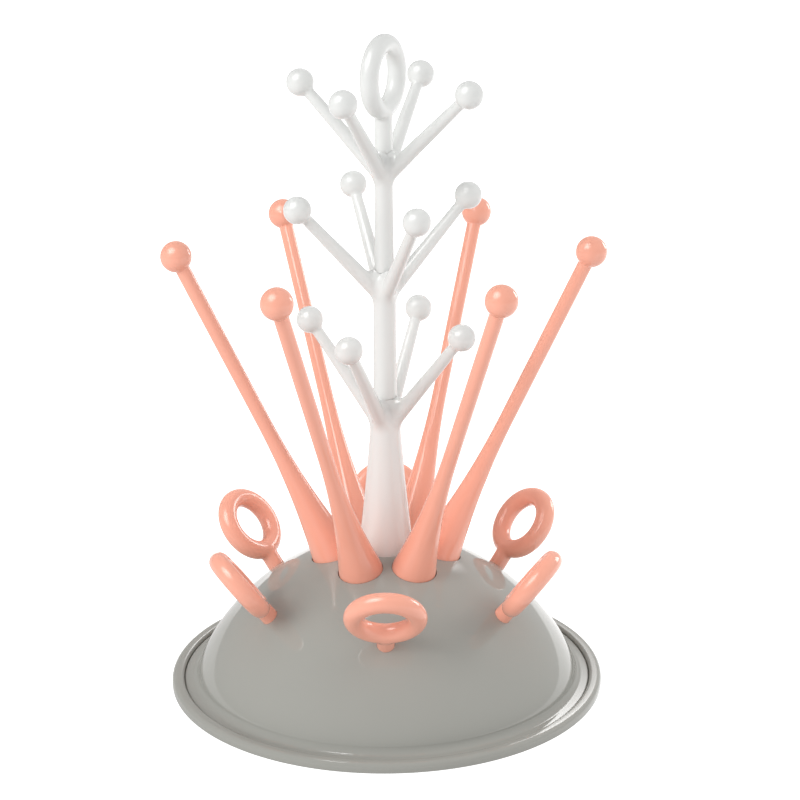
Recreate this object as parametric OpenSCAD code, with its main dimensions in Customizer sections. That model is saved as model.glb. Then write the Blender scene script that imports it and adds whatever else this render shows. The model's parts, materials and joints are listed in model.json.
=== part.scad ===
// Bottle drying rack for baby bottles and teats.
// A drip tray carries a domed cover. Six long arms, six rings on stems and a
// stacked three-tier tree plug into sockets moulded in the dome.
// Origin: centre of the circle the rack stands on. +Z up, front of the rack at -Y.
// Azimuths are measured from the front (-Y), positive towards +X.

/* [Tray] */
// Outer diameter of the tray
tray_d = 240; // [238:1:260]
// Height of the rolled rim above the floor the rack stands on
tray_rim_h = 5.6; // [5:0.1:7]
// Radial width of the rolled rim
tray_rim_w = 6.7; // [6:0.1:8]
// Thickness of the tray floor
tray_floor_t = 1.2; // [1.2:0.1:1.6]

/* [Dome] */
// Diameter of the dome where it meets its flange
dome_d = 210; // [200:0.2:210]
// Height of the dome's crown
dome_h = 78.2; // [72:0.2:90]
// Wall thickness of the dome
dome_wall = 2.4; // [2:0.1:3]
// Radius of the concave fillet between dome and flange
dome_fillet = 4.2; // [2:0.1:4.2]
// Shape of the dome: exponent across
dome_bulge_r = 2.2; // [2:0.01:2.4]
// Shape of the dome: exponent upwards
dome_bulge_z = 1.24; // [1.2:0.01:1.5]

/* [Bottle arms] */
// Number of bottle arms
arm_count = 6; // [3:1:6]
// Azimuth of the first arm
arm_turn = 31.8; // [20:0.1:40]
// Radius of the circle the arm feet stand on
arm_foot_ring_r = 29.4; // [29:0.1:32]
// Radius of the circle the arm tips lie on
arm_tip_ring_r = 110; // [95:0.1:111]
// Height of the arm tips
arm_tip_z = 243.8; // [200:0.2:250]
// Diameter of the ball on an arm
arm_ball_d = 16.8; // [14:0.1:18]
// Diameter of the slim part of an arm
arm_d = 7.9; // [7:0.1:9]
// Diameter of the trumpet foot of an arm
arm_foot_d = 24.1; // [22:0.1:24.4]
// Length of the trumpet flare
arm_flare_l = 85; // [60:1:100]
// Diameter of the pin under an arm
arm_pin_d = 10; // [8:0.1:11]
// Depth of an arm's pin below the dome's surface
arm_pin_l = 16; // [14:0.5:18]

/* [Rings on stems] */
// Number of rings on the dome
ring_count = 6; // [3:1:6]
// Radius on the dome at which a ring's stem comes out
ring_seat_r = 72.7; // [68:0.1:76]
// Angle of a ring's stem above horizontal
ring_stem_elev = 51.8; // [48:0.1:56]
// Outer diameter of a ring
ring_d = 43.6; // [40:0.1:46]
// Thickness of a ring
ring_tube_d = 10.6; // [9.8:0.1:11]
// Distance from the dome to the middle of a ring, along the stem
ring_reach = 28.2; // [27:0.1:32]
// Diameter of a ring's stem
ring_stem_d = 9.6; // [8:0.1:9.6]
// Depth of a ring's stem below the dome's surface
ring_pin_l = 12; // [10:0.5:14]
// Turn of the two rings beside the front one about their stems
side_ring_turn = 9; // [0:1:12]

/* [Tree] */
// Azimuth of the first branch of the lowest tier
tree_turn = 65.7; // [0:0.1:90]
// Diameter of the trunk's foot
trunk_foot_d = 30; // [26:0.1:30]
// Diameter of the balls of the tree
tip_ball_d = 14.7; // [12:0.1:16]
// Diameter of a branch at the trunk
branch_root_d = 8.6; // [7:0.1:9]
// Diameter of a branch at its ball
branch_tip_d = 5.7; // [5:0.1:7]
// Diameter of the pin under the trunk
trunk_pin_d = 16; // [14:0.5:18]
// Length of the pin under the trunk
trunk_pin_l = 16; // [12:0.5:18]
// Length of the pins that plug into the tiers
tier_pin_l = 11; // [9:0.5:11]

/* [Tree, lower tier] */
// Diameter of the trunk below the lower tier
lower_trunk_d = 16.3; // [15:0.1:17]
// Height at which the lower branches meet on the axis
lower_fork_z = 145; // [143:0.1:147]
// Height at which the lower section ends
lower_hub_z = 164.5; // [163:0.1:166]
// Radius of the circle the lower balls lie on
lower_tip_r = 44.7; // [42:0.1:47]
// Height of the lower balls
lower_tip_z = 202.8; // [199:0.2:206]
// Diameter of the pin that plugs into the lower section
lower_pin_d = 9; // [8:0.1:9.6]

/* [Tree, middle tier] */
// Diameter of the middle section where it starts
middle_start_d = 12.8; // [12:0.1:13.4]
// Diameter of the trunk below the middle tier
middle_trunk_d = 12.2; // [11.4:0.1:12.8]
// Height at which the middle branches meet on the axis
middle_fork_z = 219.2; // [217:0.1:221]
// Height at which the middle section ends
middle_hub_z = 234.2; // [233:0.1:236]
// Radius of the circle the middle balls lie on
middle_tip_r = 47.9; // [45:0.1:50]
// Height of the middle balls
middle_tip_z = 271.7; // [268:0.1:275]
// Diameter of the pin that plugs into the middle section
middle_pin_d = 6.6; // [6:0.1:7.2]

/* [Tree, upper tier] */
// Diameter of the upper section where it starts
upper_start_d = 10.5; // [10:0.1:11]
// Diameter of the trunk below the upper tier
upper_trunk_d = 9.6; // [9.2:0.1:10.4]
// Height at which the upper branches meet on the axis
upper_fork_z = 284.6; // [282:0.1:287]
// Height at which the upper section ends
upper_hub_z = 298.4; // [297:0.1:300]
// Radius of the circle the upper balls lie on
upper_tip_r = 48.1; // [45:0.1:50]
// Height of the upper balls
upper_tip_z = 332; // [329:0.5:335]
// Diameter of the pin that plugs into the upper section
upper_pin_d = 5.2; // [4.6:0.1:5.4]

/* [Top ring] */
// Height of the middle of the top ring
top_ring_z = 338.2; // [334:0.2:344]
// Outer diameter of the top ring
top_ring_d = 44.2; // [42:0.1:46]
// Thickness of the top ring
top_ring_tube_d = 10; // [9.8:0.1:11]
// Diameter of the top ring's stem
top_ring_stem_d = 9.4; // [8:0.1:9.6]

/* [Fits] */
// Radial clearance between a pin and its socket
pin_play = 0.06; // [0.03:0.01:0.1]
// Gap round the arm feet, the trunk foot and the dome's flange
seam = 0.3; // [0.25:0.05:0.4]

/* [Hidden] */
foot_count = 4;
$fn = 96;

dome_color = [0.63, 0.62, 0.59];
coral = [0.96, 0.65, 0.54];
white = [0.93, 0.93, 0.92];
foot_color = [0.35, 0.35, 0.34];

branch_count = 4;
// Steps along a curved outline
outline_steps = 24;
arc_steps = 6;
// How far cutters and sockets' walls are drawn past the surface they meet
past = 20;

// Tray and dome heights
tray_r = tray_d / 2;
tray_under_z = 0.8;
tray_rim_under_z = 0.3;
tray_floor_z = tray_under_z + tray_floor_t;
tray_bore_r = tray_r - tray_rim_w;
rim_outer_round = 2.7;
rim_inner_round = 1.8;
flange_under_z = tray_floor_z + 0.2;
flange_t = 1.6;
flange_z = flange_under_z + flange_t;
flange_r = tray_bore_r - seam;
dome_r = dome_d / 2;
dome_foot_z = flange_z + dome_fillet;

// Sockets in the dome
recess_wall = 2;
boss_wall = 2.4;
socket_floor = 2;
arm_recess_l = 4.6;
arm_foot_under = 0.4;
trunk_recess = 3;
trunk_recess_z = dome_h - trunk_recess;

// Feet
foot_d = 16;
foot_ring_r = 92;
foot_h = 1.2;
foot_edge = 0.3;
foot_play = 0.1;

// Tree, a value for each tier from the lowest up
trunk_d = [lower_trunk_d, middle_trunk_d, upper_trunk_d];
fork_z = [lower_fork_z, middle_fork_z, upper_fork_z];
hub_z = [lower_hub_z, middle_hub_z, upper_hub_z];
tip_r = [lower_tip_r, middle_tip_r, upper_tip_r];
tip_z = [lower_tip_z, middle_tip_z, upper_tip_z];
tier_pin_d = [lower_pin_d, middle_pin_d, upper_pin_d];
// Turn of each tier's branches
tier_turn = [tree_turn, tree_turn + 45, tree_turn];
// Distance from the trunk's axis at which a branch starts, along the branch
branch_start = 1.5;
// Height above the fork at which the trunk stops tapering
taper_rise = 4;
// Shape of the lowest section's flare
trunk_flare = 1.2;
hub_edge = 1;

// Height of a superelliptic shell at radius r
function shell_z(r, foot_r, base_z, top_z) =
    let (s = pow(min(r / foot_r, 1), dome_bulge_r / 2))
    base_z + (top_z - base_z) * pow(1 - s * s, 1 / dome_bulge_z);

// Outline of a superelliptic shell from its crown down to its foot
function shell_outline(foot_r, base_z, top_z) = [
    for (i = [0:outline_steps])
        let (t = 90 * i / outline_steps)
        [foot_r * pow(sin(t), 2 / dome_bulge_r),
         base_z + (top_z - base_z) * pow(cos(t), 2 / dome_bulge_z)]
];

// Points of an arc, from one angle to another
function arc(cx, cz, r, from, to) = [
    for (i = [0:arc_steps])
        let (a = from + (to - from) * i / arc_steps)
        [cx + r * cos(a), cz + r * sin(a)]
];

// Radius of an arm at distance s from the dome's surface
function arm_r(s) =
    (arm_d + (arm_foot_d - arm_d) * pow(1 - min(s / arm_flare_l, 1), 2)) / 2;

// Radius of the lowest trunk section at height z
function trunk_r(z) =
    let (u = max(0, (flare_top_z - z) / (flare_top_z - dome_h)))
    trunk_d[0] / 2 + (trunk_foot_d - trunk_d[0]) / 2 * pow(u, trunk_flare);

flare_top_z = fork_z[0] + taper_rise;
dome_at_arm_z = shell_z(arm_foot_ring_r, dome_r, dome_foot_z, dome_h);
dome_at_ring_z = shell_z(ring_seat_r, dome_r, dome_foot_z, dome_h);
arm_lean = atan2(arm_tip_ring_r - arm_foot_ring_r, arm_tip_z - dome_at_arm_z);
arm_l = norm([arm_tip_ring_r - arm_foot_ring_r, arm_tip_z - dome_at_arm_z]);

// Turns a piece from the +X direction to an azimuth measured from the front
module at_azimuth(a) {
    rotate([0, 0, a - 90]) children();
}

// Puts a piece drawn along +Z on the axis of arm number i
module on_arm(i) {
    at_azimuth(arm_turn + 360 / arm_count * (i - 1))
        translate([arm_foot_ring_r, 0, dome_at_arm_z])
            rotate([0, arm_lean, 0]) children();
}

// Turn of ring number i about its stem, away from square to the dome
function ring_turn(i) = i == 2 ? side_ring_turn : i == ring_count ? -side_ring_turn : 0;

// Puts a piece drawn along +Z on the stem axis of ring number i
module on_ring(i) {
    at_azimuth(360 / ring_count * (i - 1))
        translate([ring_seat_r, 0, dome_at_ring_z])
            rotate([0, 90 - ring_stem_elev, 0]) children();
}

// Puts a piece at foot number i
module on_foot(i) {
    at_azimuth(45 + 360 / foot_count * (i - 1)) translate([foot_ring_r, 0, 0]) children();
}

module drip_tray() {
    outer_edge = 0.4;
    inner_edge = 1;
    outline = concat(
        [[0, tray_floor_z], [0, tray_under_z], [tray_bore_r, tray_under_z],
         [tray_bore_r + inner_edge, tray_rim_under_z], [tray_r - outer_edge, tray_rim_under_z],
         [tray_r, tray_rim_under_z + outer_edge]],
        arc(tray_r - rim_outer_round, tray_rim_h - rim_outer_round, rim_outer_round, 0, 90),
        arc(tray_bore_r + rim_inner_round, tray_rim_h - rim_inner_round, rim_inner_round, 90, 180),
        [[tray_bore_r, tray_floor_z]]
    );
    color(dome_color)
    difference() {
        rotate_extrude() polygon(outline);
        for (i = [1:foot_count]) on_foot(i)
            translate([0, 0, -past]) cylinder(d = foot_d + 2 * foot_play, h = foot_h + past);
    }
}

module foot(i) {
    color(foot_color)
    on_foot(i) rotate_extrude() polygon([
        [0, 0], [foot_d / 2 - foot_edge, 0], [foot_d / 2, foot_edge], [foot_d / 2, foot_h], [0, foot_h]
    ]);
}

// The dome as a solid, with its flange
module dome_outside() {
    fillet = arc(dome_r + dome_fillet, dome_foot_z, dome_fillet, 180, 270);
    rotate_extrude() polygon(concat(
        shell_outline(dome_r, dome_foot_z, dome_h),
        [for (i = [1:arc_steps]) fillet[i]],
        arc(flange_r - flange_t / 2, flange_z - flange_t / 2, flange_t / 2, 90, -90),
        [[0, flange_under_z]]
    ));
}

// The hollow under the dome, before the socket bosses are left standing in it
module dome_inside() {
    inner_r = dome_r - dome_wall;
    rotate_extrude() polygon(concat(
        shell_outline(inner_r, dome_foot_z, dome_h - dome_wall),
        [[inner_r, flange_under_z - past], [0, flange_under_z - past]]
    ));
}

// The sockets' walls under the dome
module socket_bosses() {
    for (i = [1:arm_count]) on_arm(i) {
        translate([0, 0, -arm_recess_l - recess_wall])
            cylinder(d = arm_foot_d + 2 * (seam + recess_wall), h = arm_recess_l + recess_wall);
        translate([0, 0, -arm_pin_l - socket_floor])
            cylinder(d = arm_pin_d + 2 * boss_wall, h = arm_pin_l + socket_floor);
    }
    for (i = [1:ring_count]) on_ring(i)
        translate([0, 0, -ring_pin_l - socket_floor])
            cylinder(d = ring_stem_d + 2 * boss_wall, h = ring_pin_l + socket_floor);
    translate([0, 0, trunk_recess_z - recess_wall])
        cylinder(d = trunk_foot_d + 2 * (seam + recess_wall), h = recess_wall + trunk_recess);
    translate([0, 0, trunk_recess_z - trunk_pin_l - socket_floor])
        cylinder(d = trunk_pin_d + 2 * boss_wall, h = trunk_pin_l + socket_floor);
}

// The holes that the feet and pins sit in
module socket_holes() {
    for (i = [1:arm_count]) on_arm(i) {
        translate([0, 0, -arm_recess_l]) cylinder(d = arm_foot_d + 2 * seam, h = arm_recess_l + past);
        translate([0, 0, -arm_pin_l - seam]) cylinder(d = arm_pin_d + 2 * pin_play, h = arm_pin_l + past);
    }
    for (i = [1:ring_count]) on_ring(i)
        translate([0, 0, -ring_pin_l - seam])
            cylinder(d = ring_stem_d + 2 * pin_play, h = ring_pin_l + past);
    translate([0, 0, trunk_recess_z]) cylinder(d = trunk_foot_d + 2 * seam, h = past);
    translate([0, 0, trunk_recess_z - trunk_pin_l])
        cylinder(d = trunk_pin_d + 2 * pin_play, h = trunk_pin_l + past);
}

module dome() {
    color(dome_color)
    difference() {
        dome_outside();
        difference() {
            dome_inside();
            socket_bosses();
        }
        socket_holes();
    }
}

module bottle_arm(i) {
    foot_under = -arm_recess_l + arm_foot_under;
    pin_edge = 0.8;
    flare = [
        for (k = [0:outline_steps])
            let (s = arm_flare_l * k / outline_steps)
            [arm_r(s), s]
    ];
    color(coral)
    on_arm(i) union() {
        rotate_extrude() polygon(concat(
            [[0, -arm_pin_l], [arm_pin_d / 2 - pin_edge, -arm_pin_l], [arm_pin_d / 2, pin_edge - arm_pin_l],
             [arm_pin_d / 2, foot_under], [arm_foot_d / 2, foot_under]],
            flare,
            [[arm_d / 2, arm_l], [0, arm_l]]
        ));
        translate([0, 0, arm_l]) sphere(d = arm_ball_d);
    }
}

// A closed ring standing on a round stem, drawn along +Z from the end of its stem
module stemmed_ring(outer_d, tube_d, stem_d, reach, below) {
    middle_r = (outer_d - tube_d) / 2;
    translate([0, 0, reach]) rotate([90, 0, 0]) rotate_extrude()
        translate([middle_r, 0]) circle(d = tube_d);
    translate([0, 0, -below]) cylinder(d = stem_d, h = below + reach - middle_r);
}

module accessory_ring(i) {
    color(coral)
    on_ring(i) rotate([0, 0, 90 + ring_turn(i)])
        stemmed_ring(ring_d, ring_tube_d, ring_stem_d, ring_reach, ring_pin_l);
}

// The branches and balls of tier number t
module branches(t) {
    span = [tip_r[t], tip_z[t] - fork_z[t]];
    for (k = [0:branch_count - 1]) at_azimuth(tier_turn[t] + 360 / branch_count * k)
        translate([0, 0, fork_z[t]]) rotate([0, atan2(span[0], span[1]), 0]) {
            translate([0, 0, branch_start])
                cylinder(d1 = branch_root_d, d2 = branch_tip_d, h = norm(span) - branch_start);
            translate([0, 0, norm(span)]) sphere(d = tip_ball_d);
        }
}

// The socket in the top of tier number t
module tier_socket(t) {
    translate([0, 0, hub_z[t] - tier_pin_l - seam])
        cylinder(d = tier_pin_d[t] + 2 * pin_play, h = tier_pin_l + past);
}

// A trunk section that stands on the tier below and carries tier number t
module trunk_section(t, start_d) {
    start = hub_z[t - 1] + seam / 2;
    rotate_extrude() polygon([
        [0, hub_z[t - 1] - tier_pin_l], [tier_pin_d[t - 1] / 2, hub_z[t - 1] - tier_pin_l],
        [tier_pin_d[t - 1] / 2, start], [start_d / 2, start],
        [trunk_d[t] / 2, fork_z[t] + taper_rise], [trunk_d[t] / 2, hub_z[t] - hub_edge],
        [trunk_d[t] / 2 - hub_edge / 2, hub_z[t]], [0, hub_z[t]]
    ]);
}

module tree_lower() {
    under_z = trunk_recess_z + seam;
    pin_z = under_z - trunk_pin_l;
    flare = [
        for (k = [0:outline_steps])
            let (z = dome_h + (flare_top_z - dome_h) * k / outline_steps)
            [trunk_r(z), z]
    ];
    color(white)
    difference() {
        union() {
            rotate_extrude() polygon(concat(
                [[0, pin_z], [trunk_pin_d / 2, pin_z],
                 [trunk_pin_d / 2, under_z], [trunk_foot_d / 2, under_z]],
                flare,
                [[trunk_d[0] / 2, hub_z[0] - hub_edge],
                 [trunk_d[0] / 2 - hub_edge, hub_z[0]], [0, hub_z[0]]]
            ));
            branches(0);
        }
        tier_socket(0);
    }
}

module tree_middle() {
    color(white)
    difference() {
        union() {
            trunk_section(1, middle_start_d);
            branches(1);
        }
        tier_socket(1);
    }
}

module tree_upper() {
    color(white)
    difference() {
        union() {
            trunk_section(2, upper_start_d);
            branches(2);
        }
        tier_socket(2);
    }
}

module top_ring() {
    start = hub_z[2] + seam / 2;
    color(white) {
        at_azimuth(tree_turn - 90)
            translate([0, 0, start])
                stemmed_ring(top_ring_d, top_ring_tube_d, top_ring_stem_d, top_ring_z - start, 0);
        translate([0, 0, hub_z[2] - tier_pin_l]) cylinder(d = tier_pin_d[2], h = tier_pin_l + 1);
    }
}

drip_tray();
dome();
for (i = [1:arm_count])
    bottle_arm(i);
for (i = [1:ring_count])
    accessory_ring(i);
tree_lower();
tree_middle();
tree_upper();
top_ring();
for (i = [1:foot_count])
    foot(i);
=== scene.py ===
import json
import math

import bmesh
import bpy
import numpy as np
from mathutils import Matrix, Vector

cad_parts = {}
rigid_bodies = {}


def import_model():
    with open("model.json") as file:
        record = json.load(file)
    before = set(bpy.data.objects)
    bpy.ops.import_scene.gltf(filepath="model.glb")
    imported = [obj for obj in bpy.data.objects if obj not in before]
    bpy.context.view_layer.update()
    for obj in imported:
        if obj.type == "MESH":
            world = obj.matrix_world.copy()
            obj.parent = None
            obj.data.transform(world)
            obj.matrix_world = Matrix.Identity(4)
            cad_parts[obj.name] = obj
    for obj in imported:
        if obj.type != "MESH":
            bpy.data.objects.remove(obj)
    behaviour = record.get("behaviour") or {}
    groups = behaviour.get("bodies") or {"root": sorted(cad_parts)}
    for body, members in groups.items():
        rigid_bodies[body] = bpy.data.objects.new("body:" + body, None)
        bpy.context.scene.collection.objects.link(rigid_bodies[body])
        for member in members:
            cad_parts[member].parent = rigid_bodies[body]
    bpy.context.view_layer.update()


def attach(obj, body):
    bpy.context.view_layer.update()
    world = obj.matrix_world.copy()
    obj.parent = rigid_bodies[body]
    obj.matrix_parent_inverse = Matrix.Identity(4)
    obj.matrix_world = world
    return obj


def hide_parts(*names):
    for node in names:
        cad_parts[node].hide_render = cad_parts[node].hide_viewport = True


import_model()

# ---------------------------------------------------------------- sizes
# Lengths are in millimetres and angles in degrees, as in part.scad. A Z is a height above the table.
# The meshes come out in metres, and the studio at the end is set out in metres.
MM = 0.001

TRAY_R = 120.0
TRAY_RIM_H = 5.6
TRAY_RIM_W = 6.7
TRAY_UNDER_Z = 0.8
TRAY_RIM_UNDER_Z = 0.3
TRAY_FLOOR_Z = 2.0
TRAY_BORE_R = TRAY_R - TRAY_RIM_W
TRAY_CORNER = 1.0
RIM_FOOT_ROUND = 0.4
RIM_OUTER_ROUND = 2.7
RIM_INNER_ROUND = 1.8

FEET = 4
FOOT_D = 16.0
FOOT_RING_R = 92.0
FOOT_H = 1.2
FOOT_POCKET_PLAY = 0.1
PAD_ROUND = 0.3
PAD_DISH_H = 0.15
PAD_LIP_W = 1.4
PAD_LIP_SLOPE = 0.2

DOME_R = 105.0
DOME_H = 78.2
DOME_WALL = 2.4
DOME_FILLET = 4.2
FLANGE_UNDER_Z = 2.2
FLANGE_Z = 3.8
FLANGE_R = TRAY_BORE_R - 0.3
FLANGE_ROUND = 0.8
DOME_FOOT_Z = FLANGE_Z + DOME_FILLET
# Exponents of the dome's superellipse, across and up.
BULGE_R = 2.2
BULGE_Z = 1.24

ARMS = 6
ARM_TURN = 31.8
ARM_FOOT_RING_R = 29.4
ARM_TIP_RING_R = 110.0
ARM_TIP_Z = 243.8
ARM_BALL_D = 16.8
ARM_D = 7.9
ARM_FOOT_D = 24.1
ARM_FLARE_L = 85.0
ARM_NECK_ROUND = 0.9
ARM_PIN_D = 10.0
ARM_PIN_L = 16.0
ARM_PIN_CHAMFER = 0.8
ARM_RECESS_L = 4.6
ARM_FOOT_UNDER = 0.4
ARM_FOOT_EDGE = 0.3

RINGS = 6
RING_SEAT_R = 72.7
RING_STEM_ELEV = 51.8
RING_D = 43.6
RING_TUBE_D = 10.6
RING_REACH = 28.2
RING_STEM_D = 9.6
RING_PIN_L = 12.0
SIDE_RING_TURN = 9.0
RING_ROOT_FILLET = 1.6
RING_STEM_EDGE = 0.5

TOP_RING_Z = 338.2
TOP_RING_D = 44.2
TOP_RING_TUBE_D = 10.0
TOP_RING_STEM_D = 9.4

# The tree's values with three numbers are for its lower, middle and upper tier.
TREE_TURN = 65.7
TIER_TURN = (TREE_TURN, TREE_TURN + 45, TREE_TURN)
BRANCHES = 4
TRUNK_FOOT_D = 30.0
TRUNK_D = (16.3, 12.2, 9.6)
FORK_Z = (145.0, 219.2, 284.6)
HUB_Z = (164.5, 234.2, 298.4)
# Diameter of the piece that stands on each hub.
ABOVE_D = (12.8, 10.5, TOP_RING_STEM_D)
TIP_R = (44.7, 47.9, 48.1)
TIP_Z = (202.8, 271.7, 332.0)
TIP_BALL_D = 14.7
TIP_FILLET = 1.2
BRANCH_ROOT_D = 8.6
BRANCH_TIP_D = 5.7
# Diameter of the pin that goes into each hub.
TIER_PIN_D = (9.0, 6.6, 5.2)
TIER_PIN_L = 11.0
TRUNK_PIN_D = 16.0
TRUNK_PIN_L = 16.0
TRUNK_RECESS_Z = DOME_H - 3.0
TRUNK_FLARE_POWER = 1.2
TRUNK_EDGE = 0.2
# Height above the fork where the trunk's taper ends and the hub starts to draw in.
HUB_START = 4.0
# Fillet between trunk and branch: all round, added on the branch's own side, and added again above
# the branch, in full from CROTCH_H up.
FORK_FILLET = 1.0
BRANCH_FILLET = 1.8
CROTCH_FILLET = 4.5
CROTCH_H = 7.0
# The trunk runs on this far above the hub, so that its fillets do, and a cup is cut out of it there.
CROTCH_RUN = 14.0
CUP_PLAY = 0.1
CUP_WIDENS = 8.0
CUP_H = 20.0

SEAM = 0.3
PLAY = 0.06
SOCKET_WALL = 2.4
RECESS_WALL = 2.0
SOCKET_FLOOR = 2.0
# How far a cutter reaches past the surface that it opens, and how far a pin runs on into its piece.
CUT_PAST = 20.0
CUT_UNDER = 5.0
HUB_CUT_PAST = 1.0
PIN_INTO = 3.0
TOP_PIN_INTO = 2.0

DOME_SEGMENTS = 320
TRAY_SEGMENTS = 288
HOLLOW_SEGMENTS = 160
BAR_SEGMENTS = 96
FOOT_SEGMENTS = 64
RING_STEP = 0.6
TREE_STEP = 0.9
# Half width and half depth of the grid round a ring, and how far a grid reaches past the piece.
RING_GRID = (24, 8)
GRID_PAST = 2.0
GRID_UNDER = 1.5
SHARP_ANGLE = 32
# Points nearer than this, in metres, are one point after a cut.
WELD = 5e-6


def shell_z(r):
    """Height of the dome's outside at a radius."""
    s = (r / DOME_R) ** (BULGE_R / 2)
    return DOME_FOOT_Z + (DOME_H - DOME_FOOT_Z) * (1 - s * s) ** (1 / BULGE_Z)


def shell_outline(foot_r, top_z, steps):
    """The dome's curve from its top to its foot, as (r, z) points."""
    out = []
    for i in range(steps + 1):
        t = math.pi / 2 * i / steps
        out.append((foot_r * math.sin(t) ** (2 / BULGE_R),
                    DOME_FOOT_Z + (top_z - DOME_FOOT_Z) * math.cos(t) ** (2 / BULGE_Z)))
    return out


def arc(cx, cz, r, start, end, steps):
    """Points on an arc round (cx, cz), from angle start to angle end."""
    return [(cx + r * math.cos(math.radians(start + (end - start) * i / steps)),
             cz + r * math.sin(math.radians(start + (end - start) * i / steps)))
            for i in range(steps + 1)]


def at_azimuth(a):
    """Turns +X to an azimuth measured from the front (-Y), positive towards +X."""
    return Matrix.Rotation(math.radians(a - 90), 4, "Z")


ARM_OUT = ARM_TIP_RING_R - ARM_FOOT_RING_R
ARM_UP = ARM_TIP_Z - shell_z(ARM_FOOT_RING_R)
ARM_LEAN = math.atan2(ARM_OUT, ARM_UP)
ARM_L = math.hypot(ARM_OUT, ARM_UP)


def on_arm(i):
    """Arm i's foot on the dome, with Z along the arm."""
    return (at_azimuth(ARM_TURN + 360 / ARMS * (i - 1))
            @ Matrix.Translation((ARM_FOOT_RING_R, 0, shell_z(ARM_FOOT_RING_R)))
            @ Matrix.Rotation(ARM_LEAN, 4, "Y"))


def on_ring(i):
    """Ring i's seat on the dome, with Z along its stem."""
    return (at_azimuth(360 / RINGS * (i - 1))
            @ Matrix.Translation((RING_SEAT_R, 0, shell_z(RING_SEAT_R)))
            @ Matrix.Rotation(math.radians(90 - RING_STEM_ELEV), 4, "Y"))


def ring_turn(i):
    """Turn of a ring about its stem: only the two beside the front one have any."""
    return {2: SIDE_RING_TURN, RINGS: -SIDE_RING_TURN}.get(i, 0)


def on_foot(i):
    """Foot i's place under the tray."""
    return at_azimuth(45 + 360 / FEET * (i - 1)) @ Matrix.Translation((FOOT_RING_R, 0, 0))


# ---------------------------------------------------------------- meshes

def mesh_object(name, verts, faces, place=None):
    """A mesh object from millimetre points, turned and moved by place."""
    points = np.array(verts, float)
    if place is not None:
        m = np.array(place)
        points = points @ m[:3, :3].T + m[:3, 3]
    mesh = bpy.data.meshes.new(name)
    mesh.from_pydata((points * MM).tolist(), [], faces)
    mesh.validate()
    bm = bmesh.new()
    bm.from_mesh(mesh)
    bmesh.ops.recalc_face_normals(bm, faces=bm.faces)
    bm.to_mesh(mesh)
    bm.free()
    obj = bpy.data.objects.new(name, mesh)
    bpy.context.scene.collection.objects.link(obj)
    return obj


def lathe(name, outline, segments, place=None):
    """Revolves an outline of (r, z) points, whose ends lie on the axis, round Z."""
    verts, faces, rows = [], [], []
    for r, z in outline:
        if r < 1e-6:
            rows.append([len(verts)])
            verts.append((0, 0, z))
        else:
            rows.append(list(range(len(verts), len(verts) + segments)))
            verts += [(r * math.cos(2 * math.pi * k / segments),
                       r * math.sin(2 * math.pi * k / segments), z) for k in range(segments)]
    for a, b in zip(rows, rows[1:]):
        for k in range(segments):
            n = (k + 1) % segments
            if len(a) == 1:
                faces.append((a[0], b[k], b[n]))
            elif len(b) == 1:
                faces.append((a[k], b[0], a[n]))
            else:
                faces.append((a[k], b[k], b[n], a[n]))
    return mesh_object(name, verts, faces, place)


def bar(r, low, high, place=None):
    """A round bar along Z."""
    return lathe("bar", [(0, low), (r, low), (r, high), (0, high)], BAR_SEGMENTS, place)


def boolean(target, tools, operation):
    """Cuts or joins closed meshes, and removes the tools."""
    for tool in tools:
        mod = target.modifiers.new("cut", "BOOLEAN")
        mod.operation = operation
        mod.solver = "MANIFOLD"
        mod.object = tool
    dg = bpy.context.evaluated_depsgraph_get()
    mesh = bpy.data.meshes.new_from_object(target.evaluated_get(dg))
    target.modifiers.clear()
    target.data = mesh
    for tool in tools:
        bpy.data.objects.remove(tool)
    return target


def weld(obj):
    """Takes out the slivers that the cuts leave along their edges."""
    bm = bmesh.new()
    bm.from_mesh(obj.data)
    bmesh.ops.remove_doubles(bm, verts=bm.verts, dist=WELD)
    bmesh.ops.dissolve_degenerate(bm, edges=bm.edges, dist=WELD)
    bmesh.ops.triangulate(bm, faces=[f for f in bm.faces if len(f.verts) > 4])
    bmesh.ops.dissolve_degenerate(bm, edges=bm.edges, dist=WELD)
    bm.to_mesh(obj.data)
    bm.free()
    obj.data.validate()


def crossing_points(f, cells):
    """For each grid cell, the sum and the count of the points where its edges cross the surface."""
    total = np.zeros((*cells, 3), np.float32)
    count = np.zeros(cells, np.float32)

    def part(offset):
        return f[tuple(slice(o, o + c) for o, c in zip(offset, cells))]

    for axis in range(3):
        others = [k for k in range(3) if k != axis]
        for u in (0, 1):
            for v in (0, 1):
                start = [0, 0, 0]
                start[others[0]], start[others[1]] = u, v
                end = list(start)
                end[axis] = 1
                a, b = part(start), part(end)
                cross = (a < 0) != (b < 0)
                t = np.where(cross, a / np.where(cross, a - b, 1), 0)
                for k in range(3):
                    total[..., k] += np.where(cross, t if k == axis else start[k], 0)
                count += cross
    return total, count


def crossing_quads(f, cells, index):
    """A quad for each grid edge that crosses the surface, from the points of the four cells round it."""
    faces = []
    for axis in range(3):
        u, v = [k for k in range(3) if k != axis]
        a = f.take(range(f.shape[axis] - 1), axis)
        b = f.take(range(1, f.shape[axis]), axis)
        edges = np.argwhere((a < 0) != (b < 0))
        edges = edges[(edges[:, u] > 0) & (edges[:, v] > 0)
                      & (edges[:, u] < cells[u]) & (edges[:, v] < cells[v])]
        corners = []
        for du, dv in ((0, 0), (1, 0), (1, 1), (0, 1)):
            c = edges.copy()
            c[:, u] -= du
            c[:, v] -= dv
            corners.append(index[c[:, 0], c[:, 1], c[:, 2]])
        faces.append(np.stack(corners, 1))
    return np.concatenate(faces).tolist()


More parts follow.
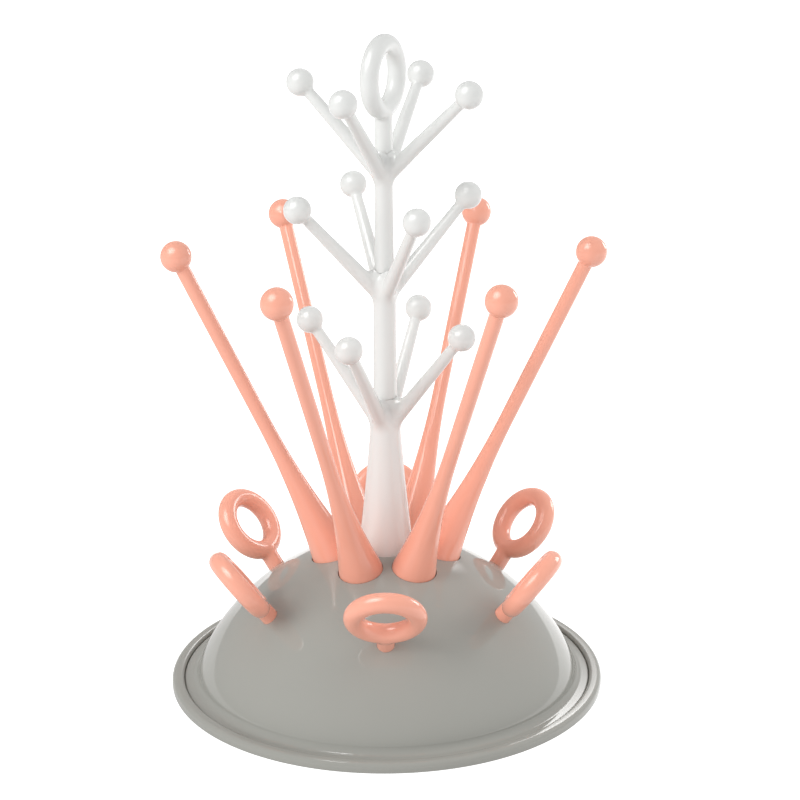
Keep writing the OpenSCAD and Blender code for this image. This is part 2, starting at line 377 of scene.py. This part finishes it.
def surface(field, low, high, step):
    """Points and quads of the surface where field is 0, one point in each grid cell it crosses."""
    axes = [np.arange(a, b + step, step) for a, b in zip(low, high)]
    f = field(*np.meshgrid(*axes, indexing="ij", sparse=True))
    cells = np.array(f.shape) - 1
    total, count = crossing_points(f, cells)
    active = count > 0
    index = np.full(cells, -1)
    index[active] = np.arange(active.sum())
    corner = np.array([a[0] for a in axes])
    points = (np.argwhere(active) + total[active] / count[active][:, None]) * step + corner
    # Each pass moves the points along the field's slope to its zero, by half a cell at most.
    h = step * 0.05
    for _ in range(5):
        x, y, z = points.T
        g = np.stack([field(x + h, y, z) - field(x - h, y, z), field(x, y + h, z) - field(x, y - h, z),
                      field(x, y, z + h) - field(x, y, z - h)], 1) / (2 * h)
        d = field(x, y, z)
        move = g * (d / np.maximum((g * g).sum(1), 0.2))[:, None]
        points = points - np.clip(move, -step / 2, step / 2)
    return points, crossing_quads(f, cells, index)


def blend_min(a, b, k):
    """Union of two solids with a fillet about k across."""
    h = np.maximum(k - np.abs(a - b), 0) / k
    return np.minimum(a, b) - h * h * k / 4


def round_cone(x, y, z, start, end, r0, r1):
    """Distance to a bar with ball ends, whose radius goes from r0 at start to r1 at end."""
    a, b = np.array(start, float), np.array(end, float)
    d = b - a
    length = np.linalg.norm(d)
    d = d / length
    px, py, pz = x - a[0], y - a[1], z - a[2]
    t = np.clip(px * d[0] + py * d[1] + pz * d[2], 0, length)
    qx, qy, qz = px - t * d[0], py - t * d[1], pz - t * d[2]
    return np.sqrt(qx * qx + qy * qy + qz * qz) - (r0 + (r1 - r0) * t / length)


def ball(x, y, z, centre, r):
    """Distance to a ball."""
    return np.sqrt((x - centre[0]) ** 2 + (y - centre[1]) ** 2 + (z - centre[2]) ** 2) - r


def upright_bar(rho, z, r, low, high, edge):
    """Distance to a bar along Z of radius r (a number or an array) with rounded edges."""
    dr = rho - (r - edge)
    dz = np.maximum(low + edge - z, z - (high - edge))
    return np.minimum(np.maximum(dr, dz), 0) + np.hypot(np.maximum(dr, 0), np.maximum(dz, 0)) - edge


def ring_field(outer_d, tube_d, stem_d, reach, bottom):
    """A ring across Y, with its middle at height reach on a stem along Z."""
    middle = (outer_d - tube_d) / 2

    def field(x, y, z):
        torus = np.hypot(np.hypot(x, z - reach) - middle, y) - tube_d / 2
        stem = upright_bar(np.hypot(x, y), z, stem_d / 2, bottom, reach - middle, RING_STEM_EDGE)
        return blend_min(torus, stem, RING_ROOT_FILLET)
    return field


def ring_mesh(outer_d, tube_d, stem_d, reach, bottom):
    """Points and quads of a ring and its stem."""
    width, depth = RING_GRID
    return surface(ring_field(outer_d, tube_d, stem_d, reach, bottom), (-width, -depth, bottom - GRID_UNDER),
                   (width, depth, reach + outer_d / 2 + GRID_PAST), RING_STEP)


# ---------------------------------------------------------------- materials
# Scales of the plastics' noises, and how the skin and grain make their relief, which is in metres.
CLOUD_SCALE = 14
SMEAR_SCALE = 34
SKIN_SCALE = 420
GRAIN_SCALE = 2600
GRAIN_SHARE = 0.18
RELIEF = 0.0004


def new_material(name):
    """A material, its nodes and its shader."""
    mat = bpy.data.materials.new(name)
    mat.use_nodes = True
    return mat, mat.node_tree, mat.node_tree.nodes["Principled BSDF"]


def mapped(tree, source, low, high, to_low, to_high, kind="LINEAR"):
    """Takes source from low..high to to_low..to_high, and holds it there outside."""
    node = tree.nodes.new("ShaderNodeMapRange")
    node.interpolation_type = kind
    for name, value in (("From Min", low), ("From Max", high), ("To Min", to_low), ("To Max", to_high)):
        node.inputs[name].default_value = value
    tree.links.new(source, node.inputs["Value"])
    return node.outputs["Result"]


def plastic(name, colour, roughness, spread, peel, haze):
    """Moulded plastic: faint cloudy colour, uneven gloss, a fine skin and grain."""
    mat, tree, shader = new_material(name)
    nodes, links = tree.nodes, tree.links
    coords = nodes.new("ShaderNodeTexCoord")

    def noise(scale, detail, rough=0.5):
        n = nodes.new("ShaderNodeTexNoise")
        n.inputs["Scale"].default_value = scale
        n.inputs["Detail"].default_value = detail
        n.inputs["Roughness"].default_value = rough
        links.new(coords.outputs["Object"], n.inputs["Vector"])
        return n.outputs["Fac"]

    cloud = nodes.new("ShaderNodeMix")
    cloud.data_type = "RGBA"
    cloud.inputs["A"].default_value = (*[c * (1 - haze) for c in colour], 1)
    cloud.inputs["B"].default_value = (*[min(c * (1 + haze), 1) for c in colour], 1)
    links.new(mapped(tree, noise(CLOUD_SCALE, 3), 0.3, 0.7, 0, 1), cloud.inputs["Factor"])
    links.new(cloud.outputs["Result"], shader.inputs["Base Color"])

    smear = mapped(tree, noise(SMEAR_SCALE, 6, 0.62), 0.3, 0.75, roughness - spread, roughness + spread)
    links.new(smear, shader.inputs["Roughness"])

    height = nodes.new("ShaderNodeMix")
    height.data_type = "FLOAT"
    height.inputs["Factor"].default_value = GRAIN_SHARE
    links.new(noise(SKIN_SCALE, 2), height.inputs["A"])
    links.new(noise(GRAIN_SCALE, 2), height.inputs["B"])
    bump = nodes.new("ShaderNodeBump")
    bump.inputs["Strength"].default_value = peel
    bump.inputs["Distance"].default_value = RELIEF
    links.new(height.outputs["Result"], bump.inputs["Height"])
    links.new(bump.outputs["Normal"], shader.inputs["Normal"])
    shader.inputs["IOR"].default_value = 1.5
    return mat


def srgb(r, g, b):
    """A colour given in screen values up to 255, in the linear values that a shader takes."""
    return tuple(((c / 255 + 0.055) / 1.055) ** 2.4 for c in (r, g, b))


GREY = plastic("dome_grey_plastic", srgb(161, 161, 155), 0.03, 0.012, 0.004, 0.010)
GREY_TRAY = plastic("tray_grey_plastic", srgb(159, 159, 153), 0.08, 0.03, 0.010, 0.012)
CORAL = plastic("coral_plastic", srgb(246, 174, 151), 0.09, 0.03, 0.008, 0.010)
WHITE = plastic("white_plastic", srgb(225, 226, 224), 0.15, 0.04, 0.010, 0.006)
RUBBER = plastic("foot_rubber", srgb(88, 88, 86), 0.62, 0.08, 0.5, 0.08)


def finish_piece(obj, mat, body, slot, *nodes):
    """Gives a piece its material and smooth shading, and puts it in the place of its nodes."""
    obj.data.materials.clear()
    obj.data.materials.append(mat)
    weld(obj)
    obj.data.shade_smooth()
    obj.data.set_sharp_from_angle(angle=math.radians(SHARP_ANGLE))
    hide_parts(*nodes)
    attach(obj, body)


# ---------------------------------------------------------------- tray and feet

tray_outline = (
    [(0, TRAY_UNDER_Z), (TRAY_BORE_R, TRAY_UNDER_Z), (TRAY_BORE_R + TRAY_CORNER, TRAY_RIM_UNDER_Z),
     (TRAY_R - RIM_FOOT_ROUND, TRAY_RIM_UNDER_Z)]
    + arc(TRAY_R - RIM_FOOT_ROUND, TRAY_RIM_UNDER_Z + RIM_FOOT_ROUND, RIM_FOOT_ROUND, -90, 0, 4)[1:]
    + arc(TRAY_R - RIM_OUTER_ROUND, TRAY_RIM_H - RIM_OUTER_ROUND, RIM_OUTER_ROUND, 0, 90, 14)
    + arc(TRAY_BORE_R + RIM_INNER_ROUND, TRAY_RIM_H - RIM_INNER_ROUND, RIM_INNER_ROUND, 90, 180, 10)
    + [(TRAY_BORE_R, TRAY_FLOOR_Z + 0.6 * TRAY_CORNER),
       (TRAY_BORE_R - 0.4 * TRAY_CORNER, TRAY_FLOOR_Z + 0.1 * TRAY_CORNER),
       (TRAY_BORE_R - TRAY_CORNER, TRAY_FLOOR_Z), (0, TRAY_FLOOR_Z)])
tray = lathe("drip_tray_moulding", tray_outline, TRAY_SEGMENTS)
pocket_r = FOOT_D / 2 + FOOT_POCKET_PLAY
pocket = [(0, -CUT_UNDER), (pocket_r, -CUT_UNDER), (pocket_r, FOOT_H), (0, FOOT_H)]
pockets = [lathe("pocket", pocket, FOOT_SEGMENTS, on_foot(i)) for i in range(1, FEET + 1)]
tray = boolean(tray, pockets, "DIFFERENCE")
finish_piece(tray, GREY_TRAY, "base", "tray_grey", "drip_tray")

pad_r = FOOT_D / 2
pad_outline = (
    [(0, FOOT_H), (pad_r, FOOT_H), (pad_r, PAD_ROUND + 0.1)]
    + arc(pad_r - PAD_ROUND, PAD_ROUND, PAD_ROUND, 0, -90, 4)
    + [(pad_r - PAD_LIP_W, 0), (pad_r - PAD_LIP_W - PAD_LIP_SLOPE, PAD_DISH_H), (0, PAD_DISH_H)])
for i in range(1, FEET + 1):
    pad = lathe(f"foot_pad_{i}", pad_outline, FOOT_SEGMENTS, on_foot(i))
    finish_piece(pad, RUBBER, "base", "foot_rubber", f"foot_{i}")

# ---------------------------------------------------------------- dome

outer = (shell_outline(DOME_R, DOME_H, 96)
         + arc(DOME_R + DOME_FILLET, DOME_FOOT_Z, DOME_FILLET, 180, 270, 12)[1:]
         + arc(FLANGE_R - FLANGE_ROUND, FLANGE_Z - FLANGE_ROUND, FLANGE_ROUND, 90, -90, 12)
         + [(0, FLANGE_UNDER_Z)])
dome = lathe("dome_moulding", outer, DOME_SEGMENTS)
inner = (shell_outline(DOME_R - DOME_WALL, DOME_H - DOME_WALL, 48)
         + [(DOME_R - DOME_WALL, FLANGE_UNDER_Z - CUT_UNDER), (0, FLANGE_UNDER_Z - CUT_UNDER)])
hollow = lathe("hollow", inner, HOLLOW_SEGMENTS)

# Each thing that plugs in has a boss left standing in the hollow, and a hole cut through it.
bosses, holes = [], []
for i in range(1, ARMS + 1):
    place = on_arm(i)
    bosses.append(bar(ARM_FOOT_D / 2 + SEAM + RECESS_WALL, -ARM_RECESS_L - RECESS_WALL, 0, place))
    bosses.append(bar(ARM_PIN_D / 2 + SOCKET_WALL, -ARM_PIN_L - SOCKET_FLOOR, 0, place))
    holes.append(bar(ARM_FOOT_D / 2 + SEAM, -ARM_RECESS_L, CUT_PAST, place))
    holes.append(bar(ARM_PIN_D / 2 + PLAY, -ARM_PIN_L - SEAM, CUT_PAST, place))
    place = on_ring(i)
    bosses.append(bar(RING_STEM_D / 2 + SOCKET_WALL, -RING_PIN_L - SOCKET_FLOOR, 0, place))
    holes.append(bar(RING_STEM_D / 2 + PLAY, -RING_PIN_L - SEAM, CUT_PAST, place))
trunk_pin_z = TRUNK_RECESS_Z - TRUNK_PIN_L
bosses.append(bar(TRUNK_FOOT_D / 2 + SEAM + RECESS_WALL, TRUNK_RECESS_Z - RECESS_WALL, DOME_H))
bosses.append(bar(TRUNK_PIN_D / 2 + SOCKET_WALL, trunk_pin_z - SOCKET_FLOOR, TRUNK_RECESS_Z))
holes.append(bar(TRUNK_FOOT_D / 2 + SEAM, TRUNK_RECESS_Z, DOME_H + CUT_PAST))
holes.append(bar(TRUNK_PIN_D / 2 + PLAY, trunk_pin_z, DOME_H + CUT_PAST))
hollow = boolean(hollow, bosses, "DIFFERENCE")
dome = boolean(dome, [hollow] + holes, "DIFFERENCE")
finish_piece(dome, GREY, "dome", "dome_grey", "dome")

# ---------------------------------------------------------------- arms


def arm_r(s):
    """The arm's radius at a distance from the dome."""
    return (ARM_D + (ARM_FOOT_D - ARM_D) * (1 - min(s / ARM_FLARE_L, 1)) ** 2) / 2


# A small fillet joins the arm to its ball: its centre is neck_r off the axis and neck_drop below the ball's.
ball_r = ARM_BALL_D / 2
neck_r = ARM_D / 2 + ARM_NECK_ROUND
neck_drop = math.sqrt((ball_r + ARM_NECK_ROUND) ** 2 - neck_r ** 2)
neck_angle = math.degrees(math.atan2(neck_drop, neck_r))
under = -ARM_RECESS_L + ARM_FOOT_UNDER
arm_outline = (
    [(0, -ARM_PIN_L), (ARM_PIN_D / 2 - ARM_PIN_CHAMFER, -ARM_PIN_L),
     (ARM_PIN_D / 2, ARM_PIN_CHAMFER - ARM_PIN_L), (ARM_PIN_D / 2, under),
     (ARM_FOOT_D / 2 - ARM_FOOT_EDGE, under), (ARM_FOOT_D / 2, under + ARM_FOOT_EDGE)]
    + [(arm_r(ARM_FLARE_L * k / 60), ARM_FLARE_L * k / 60) for k in range(61)]
    + [(ARM_D / 2, s) for s in np.linspace(ARM_FLARE_L + 6, ARM_L - neck_drop - 0.5, 12)]
    + arc(neck_r, ARM_L - neck_drop, ARM_NECK_ROUND, 180, 180 - neck_angle, 5)
    + arc(0, ARM_L, ball_r, -neck_angle, 90, 40)[1:])
arms = []
for i in range(1, ARMS + 1):
    arm = lathe(f"bottle_arm_moulding_{i}", arm_outline, BAR_SEGMENTS, on_arm(i))
    finish_piece(arm, CORAL, f"arm_{i}", "coral", f"bottle_arm_{i}")
    arms.append(arm)

# ---------------------------------------------------------------- rings

ring_points, ring_faces = ring_mesh(RING_D, RING_TUBE_D, RING_STEM_D, RING_REACH, -RING_PIN_L)
for i in range(1, RINGS + 1):
    ring = mesh_object(f"accessory_ring_moulding_{i}", ring_points, ring_faces,
                       on_ring(i) @ Matrix.Rotation(math.radians(90 + ring_turn(i)), 4, "Z"))
    finish_piece(ring, CORAL, f"ring_{i}", "coral", f"accessory_ring_{i}")

top_start = HUB_Z[2] + SEAM / 2
top_points, top_faces = ring_mesh(TOP_RING_D, TOP_RING_TUBE_D, TOP_RING_STEM_D, TOP_RING_Z - top_start, 0)
top = mesh_object("top_ring_moulding", top_points, top_faces,
                  at_azimuth(TREE_TURN - 90) @ Matrix.Translation((0, 0, top_start)))
top = boolean(top, [bar(TIER_PIN_D[2] / 2, HUB_Z[2] - TIER_PIN_L, HUB_Z[2] + TOP_PIN_INTO)], "UNION")
finish_piece(top, WHITE, "finger_ring", "white", "top_ring")

# ---------------------------------------------------------------- tree


def tier_low(t):
    """Where tier t's trunk starts, above its pin."""
    return TRUNK_RECESS_Z + SEAM if t == 0 else HUB_Z[t - 1] + SEAM / 2


def trunk_r(t, z):
    """The trunk's radius in tier t: its taper below the fork, and the hub drawn in to what stands on it."""
    high = FORK_Z[t] + HUB_START
    if t == 0:
        u = np.clip((high - z) / (high - DOME_H), 0, None)
        below = TRUNK_D[0] / 2 + (TRUNK_FOOT_D - TRUNK_D[0]) / 2 * u ** TRUNK_FLARE_POWER
    else:
        u = np.clip((z - tier_low(t)) / (high - tier_low(t)), 0, 1)
        below = (ABOVE_D[t - 1] + (TRUNK_D[t] - ABOVE_D[t - 1]) * u) / 2
    v = np.clip((z - high) / (HUB_Z[t] - high), 0, 1)
    return below - (TRUNK_D[t] - ABOVE_D[t]) / 2 * v * v * (3 - 2 * v)


def tier_field(t):
    """Trunk, branches and balls of tier t, in one."""
    tips = []
    for k in range(BRANCHES):
        a = math.radians(TIER_TURN[t] + 360 / BRANCHES * k - 90)
        tips.append((TIP_R[t] * math.cos(a), TIP_R[t] * math.sin(a), TIP_Z[t]))

    def field(x, y, z):
        d = upright_bar(np.hypot(x, y), z, trunk_r(t, z), tier_low(t), HUB_Z[t] + CROTCH_RUN, TRUNK_EDGE)
        fork = (0, 0, FORK_Z[t])
        for tip in tips:
            branch = round_cone(x, y, z, fork, tip, BRANCH_ROOT_D / 2, BRANCH_TIP_D / 2)
            out = (x * tip[0] + y * tip[1]) / TIP_R[t]
            above = (z - FORK_Z[t]) - out * (TIP_Z[t] - FORK_Z[t]) / TIP_R[t]
            side = np.clip(out / (TRUNK_D[t] / 2), 0, 1)
            k = FORK_FILLET + side * (BRANCH_FILLET + CROTCH_FILLET * np.clip(above / CROTCH_H, 0, 1))
            d = blend_min(d, branch, k)
        for tip in tips:
            d = blend_min(d, ball(x, y, z, tip, TIP_BALL_D / 2), TIP_FILLET)
        return d
    return field


def tier_pin(t):
    """The pin under tier t."""
    low = tier_low(t)
    if t == 0:
        return bar(TRUNK_PIN_D / 2, low - TRUNK_PIN_L, low + PIN_INTO)
    return bar(TIER_PIN_D[t - 1] / 2, HUB_Z[t - 1] - TIER_PIN_L, low + PIN_INTO)


def hub_socket(t):
    """Cutters for the hole in tier t's hub, and for the cup above it in which the next piece stands."""
    r, z = ABOVE_D[t] / 2 + CUP_PLAY, HUB_Z[t]
    cup = lathe("cup", [(0, z), (r, z), (r + CUP_WIDENS, z + CUP_H), (0, z + CUP_H)], BAR_SEGMENTS)
    return [bar(TIER_PIN_D[t] / 2 + PLAY, z - TIER_PIN_L - SEAM, z + HUB_CUT_PAST), cup]


for t, (name, body) in enumerate((("tree_lower", "tree_base"), ("tree_middle", "tree_mid"),
                                  ("tree_upper", "tree_top"))):
    reach = TIP_R[t] + TIP_BALL_D / 2 + GRID_PAST
    points, faces = surface(tier_field(t), (-reach, -reach, tier_low(t) - GRID_UNDER),
                            (reach, reach, TIP_Z[t] + TIP_BALL_D / 2 + GRID_PAST), TREE_STEP)
    tier = mesh_object(f"{name}_moulding", points, faces)
    tier = boolean(tier, [tier_pin(t)], "UNION")
    tier = boolean(tier, hub_socket(t), "DIFFERENCE")
    finish_piece(tier, WHITE, body, "white", name)

# ---------------------------------------------------------------- studio
# From here on lengths are in metres.

FLOOR_HALF = 6.0
# The floor and the white surround have one strength for what the camera sees and one for the light
# that they throw on the rack. In reflections they brighten smoothly towards the right rear.
RIGHT_REAR = (0.87, 0.5, 0)
FLOOR_SEEN = 1.0
FLOOR_BOUNCE = 0.23
FLOOR_GLEAM = {"low": -0.1, "high": 0.15, "to_low": 0.28, "to_high": 1.0}
SKY_SEEN = 1.05
SKY_BOUNCE = 0.51
SKY_GLEAM = {"low": 0.0, "high": 1.0, "to_low": 0.38, "to_high": 0.8}


def gleam(tree, coordinate, steps):
    """A strength that depends on how far a point or a ray lies towards the right rear."""
    coords = tree.nodes.new("ShaderNodeTexCoord")
    dot = tree.nodes.new("ShaderNodeVectorMath")
    dot.operation = "DOT_PRODUCT"
    dot.inputs[1].default_value = RIGHT_REAR
    tree.links.new(coords.outputs[coordinate], dot.inputs[0])
    return mapped(tree, dot.outputs["Value"], **steps, kind="SMOOTHSTEP")


def by_ray(tree, ray, otherwise, chosen):
    """One of two strengths, by the kind of ray; each is a number or a socket."""
    rays = tree.nodes.new("ShaderNodeLightPath")
    mix = tree.nodes.new("ShaderNodeMix")
    mix.data_type = "FLOAT"
    tree.links.new(rays.outputs[ray], mix.inputs["Factor"])
    for name, value in (("A", otherwise), ("B", chosen)):
        if isinstance(value, (int, float)):
            mix.inputs[name].default_value = value
        else:
            tree.links.new(value, mix.inputs[name])
    return mix.outputs["Result"]


def glow(tree, coordinate, steps, bounce, seen):
    """The strength of a white surround for every kind of ray."""
    reflected = by_ray(tree, "Is Glossy Ray", bounce, gleam(tree, coordinate, steps))
    return by_ray(tree, "Is Camera Ray", reflected, seen)


floor_mesh = bpy.data.meshes.new("studio_floor")
bm = bmesh.new()
bmesh.ops.create_grid(bm, x_segments=24, y_segments=24, size=FLOOR_HALF)
bm.to_mesh(floor_mesh)
bm.free()
floor = bpy.data.objects.new("studio_floor", floor_mesh)
bpy.context.scene.collection.objects.link(floor)
floor_mat, floor_tree, shader = new_material("studio_floor_white")
shader.inputs["Base Color"].default_value = (0.5, 0.5, 0.5, 1)
shader.inputs["Roughness"].default_value = 0.9
shader.inputs["Specular IOR Level"].default_value = 0.0
shader.inputs["Emission Color"].default_value = (1, 1, 1, 1)
floor_glow = glow(floor_tree, "Object", FLOOR_GLEAM, FLOOR_BOUNCE, FLOOR_SEEN)
floor_tree.links.new(floor_glow, shader.inputs["Emission Strength"])
floor_mat.cycles.emission_sampling = "NONE"
floor.data.materials.append(floor_mat)

world = bpy.data.worlds.new("studio_world")
bpy.context.scene.world = world
world.use_nodes = True
sky = world.node_tree
background = sky.nodes["Background"]
background.inputs["Color"].default_value = (1, 1, 1, 1)
sky.links.new(glow(sky, "Generated", SKY_GLEAM, SKY_BOUNCE, SKY_SEEN), background.inputs["Strength"])
world.cycles.sampling_method = "NONE"

# Where every light points, and how a soft one fades out from its middle, in parts of its width.
AIM = Vector((0, 0, 0.12))
FADE = {"low": 0.05, "high": 0.48, "to_low": 1.0, "to_high": 0.0}


def softbox(name, azimuth, elevation, distance, width, height, radiance):
    """A rectangular light at an azimuth from the front and an elevation."""
    data = bpy.data.lights.new(name, "AREA")
    data.shape = "RECTANGLE"
    data.size, data.size_y = width, height
    data.energy = radiance * math.pi * width * height
    lamp = bpy.data.objects.new(name, data)
    bpy.context.scene.collection.objects.link(lamp)
    a, e = math.radians(azimuth), math.radians(elevation)
    out = Vector((math.sin(a) * math.cos(e), -math.cos(a) * math.cos(e), math.sin(e)))
    lamp.location = AIM + out * distance
    lamp.rotation_euler = out.to_track_quat("Z", "Y").to_euler()
    lamp.visible_camera = False
    return lamp


def soft_edge(lamp):
    """Fades a light from its middle to nothing at its edge."""
    lamp.data.use_nodes = True
    tree = lamp.data.node_tree
    place = tree.nodes.new("ShaderNodeNewGeometry")
    off = tree.nodes.new("ShaderNodeVectorMath")
    off.operation = "DISTANCE"
    off.inputs[1].default_value = (0.5, 0.5, 0)
    tree.links.new(place.outputs["Parametric"], off.inputs[0])
    strength = mapped(tree, off.outputs["Value"], **FADE, kind="SMOOTHSTEP")
    tree.links.new(strength, tree.nodes["Emission"].inputs["Strength"])


def pieces_of(*materials):
    """The pieces that are made of some materials."""
    return [piece for piece in bpy.context.scene.collection.objects
            if any(slot.material in materials for slot in piece.material_slots)]


def only_for(name, pieces):
    """A collection of the only pieces that a light reaches."""
    collection = bpy.data.collections.new(name)
    for piece in pieces:
        collection.objects.link(piece)
    return collection


# Lights that don't show in reflections: azimuth, elevation, distance, width, height and radiance.
FILLS = {
    "key": (-56, 28, 1.7, 1.0, 1.0, 5.0),
    "front_fill": (5, 18, 1.7, 0.9, 0.9, 1.6),
    "right_fill": (100, 27, 1.7, 1.2, 1.1, 2.9),
    "back_fill": (-178, 28, 1.7, 1.6, 1.1, 2.4),
}
for name, numbers in FILLS.items():
    softbox(name, *numbers).visible_glossy = False

# Lights that show only in reflections, and only on some pieces: the same numbers, then those pieces
# and whether the light has a soft edge.
GREY_PIECES = only_for("grey_pieces", pieces_of(GREY, GREY_TRAY))
CORAL_PIECES = only_for("coral_pieces", pieces_of(CORAL))
STEM_PIECES = only_for("coral_and_white_pieces", pieces_of(CORAL, WHITE))
REAR_ARMS = only_for("rear_arms", arms[2:4])
GLEAMS = {
    "back_gleam": ((168, 30, 1.6, 1.0, 0.8, 6.0), GREY_PIECES, True),
    "overhead_gleam": ((-110, 76, 1.7, 0.5, 0.5, 12.0), GREY_PIECES, True),
    "left_glow": ((-52, 52, 1.7, 2.2, 2.2, 7.5), STEM_PIECES, True),
    "rear_right_window": ((127, 15, 1.6, 0.5, 0.6, 6.0), CORAL_PIECES, False),
    "rear_arm_glow": ((-22, 31, 1.7, 1.0, 0.9, 9.0), REAR_ARMS, True),
}
for name, (numbers, pieces, soft) in GLEAMS.items():
    lamp = softbox(name, *numbers)
    lamp.visible_diffuse = False
    lamp.light_linking.receiver_collection = pieces
    if soft:
        soft_edge(lamp)

# ---------------------------------------------------------------- camera
# It looks at the target from the front. Its focal length is in widths of the picture.
FOCAL = 2.8321375
SENSOR_MM = 36
CAMERA_DISTANCE = 1.22443
CAMERA_ELEVATION = math.radians(18.10)
CAMERA_ROLL = math.radians(-0.24)
TARGET = Vector((0.0080, 0, 0.16259))

camera_data = bpy.data.cameras.new("camera")
camera_data.sensor_width = SENSOR_MM
camera_data.lens = FOCAL * SENSOR_MM
camera = bpy.data.objects.new("camera", camera_data)
bpy.context.scene.collection.objects.link(camera)
back = Vector((0, -math.cos(CAMERA_ELEVATION), math.sin(CAMERA_ELEVATION)))
right = Vector((1, 0, 0))
rolled = right * math.cos(CAMERA_ROLL) + back.cross(right) * math.sin(CAMERA_ROLL)
turned = Matrix((rolled, back.cross(rolled), back)).transposed().to_4x4()
camera.matrix_world = Matrix.Translation(TARGET + back * CAMERA_DISTANCE) @ turned
bpy.context.scene.camera = camera

bpy.context.scene.view_settings.view_transform = "Standard"
bpy.context.scene.view_settings.look = "None"
